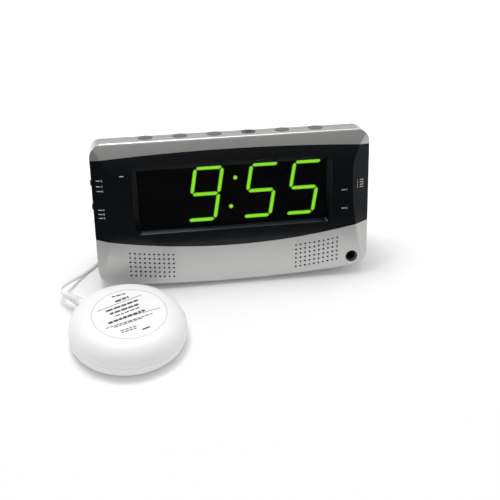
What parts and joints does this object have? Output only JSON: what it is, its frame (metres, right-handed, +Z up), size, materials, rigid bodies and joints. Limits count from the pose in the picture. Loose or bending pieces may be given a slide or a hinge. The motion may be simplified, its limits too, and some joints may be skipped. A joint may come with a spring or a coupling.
{
  "type": "bed shaker alarm clock",
  "caption": "Leaning digital alarm clock with a black display band, top buttons and end slide switches, wired to a round white vibrating puck that goes under a pillow.",
  "frame": {"origin": "middle of the rectangle that the clock and the puck cover, at table height", "axes": "+X to the clock's right as seen from the front, +Y to its back, +Z up"},
  "size_m": [0.2508, 0.2215, 0.1185],
  "materials": {
    "silver_shell": "satin silver paint over moulded plastic",
    "black_visor": "high-gloss black",
    "smoked_lens": "polished smoked acrylic",
    "display_black": "matt black",
    "lit_green": "lit yellow-green light bars",
    "unlit_bar": "dark, unlit light bars",
    "board_green": "solder mask",
    "screw_steel": "zinc-plated",
    "button_grey": "satin dark grey",
    "snooze_dark": "satin near-black",
    "switch_black": "moulded black",
    "speaker_frame": "black paint",
    "speaker_paper": "pressed paper cone",
    "jack_black": "moulded black",
    "battery_sleeve": "plain dark sleeve",
    "foot_rubber": "matt black",
    "shaker_white": "glossy white",
    "label_white": "matt white foil",
    "motor_steel": "plated can",
    "weight_metal": "sintered grey",
    "cord_white": "smooth white sheath",
    "tie_black": "plain tie"
  },
  "bodies": {
    "clock_and_shaker": {"front_bezel": "silver_shell", "front_visor": "black_visor", "rear_case": "silver_shell", "display_module": "display_black", "display_lens": "smoked_lens", "lit_segments": "lit_green", "unlit_segments": "unlit_bar", "main_board": "board_green", "board_screws": "screw_steel", "button_board": "board_green", "tact_switches": "switch_black", "slide_switches": "switch_black", "left_speaker": "speaker_frame", "left_speaker_cone": "speaker_paper", "right_speaker": "speaker_frame", "right_speaker_cone": "speaker_paper", "front_jack": "jack_black", "shaker_jack": "jack_black", "power_inlet": "jack_black", "backup_battery": "battery_sleeve", "battery_snap": "switch_black", "case_screws": "screw_steel", "rubber_feet": "foot_rubber", "shaker_top_shell": "shaker_white", "shaker_bottom_shell": "shaker_white", "shaker_label": "label_white", "shaker_screws": "screw_steel", "shaker_motor": "motor_steel", "motor_clamp": "motor_steel", "clamp_screws": "screw_steel", "strain_relief": "shaker_white", "shaker_plug": "cord_white", "shaker_cord": "cord_white", "cord_coil": "cord_white", "cord_tail": "cord_white", "cord_tie": "tie_black"},
    "alarm_one_button": {"alarm_one_button": "button_grey"},
    "alarm_two_button": {"alarm_two_button": "button_grey"},
    "time_button": {"time_button": "button_grey"},
    "snooze_button": {"snooze_button": "snooze_dark"},
    "hour_button": {"hour_button": "button_grey"},
    "minute_button": {"minute_button": "button_grey"},
    "vibration_switch_knob": {"vibration_switch_knob": "switch_black"},
    "alarm_select_knob": {"alarm_select_knob": "switch_black"},
    "alert_mode_knob": {"alert_mode_knob": "switch_black"},
    "battery_door": {"battery_door": "silver_shell"},
    "shaker_spinner": {"motor_shaft": "screw_steel", "eccentric_weight": "weight_metal"}
  },
  "joints": [
    {"name": "alarm_one_press", "type": "slide", "parent": "clock_and_shaker", "child": "alarm_one_button", "axis": [0, -0.2588, -0.9659], "range_m": [0, 0.0007], "stiffness_N_per_m": 1500},
    {"name": "alarm_two_press", "type": "slide", "parent": "clock_and_shaker", "child": "alarm_two_button", "axis": [0, -0.2588, -0.9659], "range_m": [0, 0.0007], "stiffness_N_per_m": 1500},
    {"name": "time_press", "type": "slide", "parent": "clock_and_shaker", "child": "time_button", "axis": [0, -0.2588, -0.9659], "range_m": [0, 0.0007], "stiffness_N_per_m": 1500},
    {"name": "snooze_press", "type": "slide", "parent": "clock_and_shaker", "child": "snooze_button", "axis": [0, -0.2588, -0.9659], "range_m": [0, 0.0007], "stiffness_N_per_m": 1500},
    {"name": "hour_press", "type": "slide", "parent": "clock_and_shaker", "child": "hour_button", "axis": [0, -0.2588, -0.9659], "range_m": [0, 0.0007], "stiffness_N_per_m": 1500},
    {"name": "minute_press", "type": "slide", "parent": "clock_and_shaker", "child": "minute_button", "axis": [0, -0.2588, -0.9659], "range_m": [0, 0.0007], "stiffness_N_per_m": 1500},
    {"name": "vibration_switch_slide", "type": "slide", "parent": "clock_and_shaker", "child": "vibration_switch_knob", "axis": [0, 0.2588, 0.9659], "range_m": [-0.0036, 0]},
    {"name": "alarm_select_slide", "type": "slide", "parent": "clock_and_shaker", "child": "alarm_select_knob", "axis": [0, 0.2588, 0.9659], "range_m": [-0.006, 0]},
    {"name": "alert_mode_slide", "type": "slide", "parent": "clock_and_shaker", "child": "alert_mode_knob", "axis": [0, 0.2588, 0.9659], "range_m": [-0.0066, 0]},
    {"name": "battery_door_hinge", "type": "hinge", "parent": "clock_and_shaker", "child": "battery_door", "pos_m": [0.0121, 0.08063, 0.01273], "axis": [-1, 0, 0], "range_deg": [0, 70]},
    {"name": "shaker_motor_spin", "type": "hinge", "parent": "clock_and_shaker", "child": "shaker_spinner", "pos_m": [-0.0779, -0.0376, 0.0122], "axis": [1, 0, 0], "continuous": true}
  ]
}
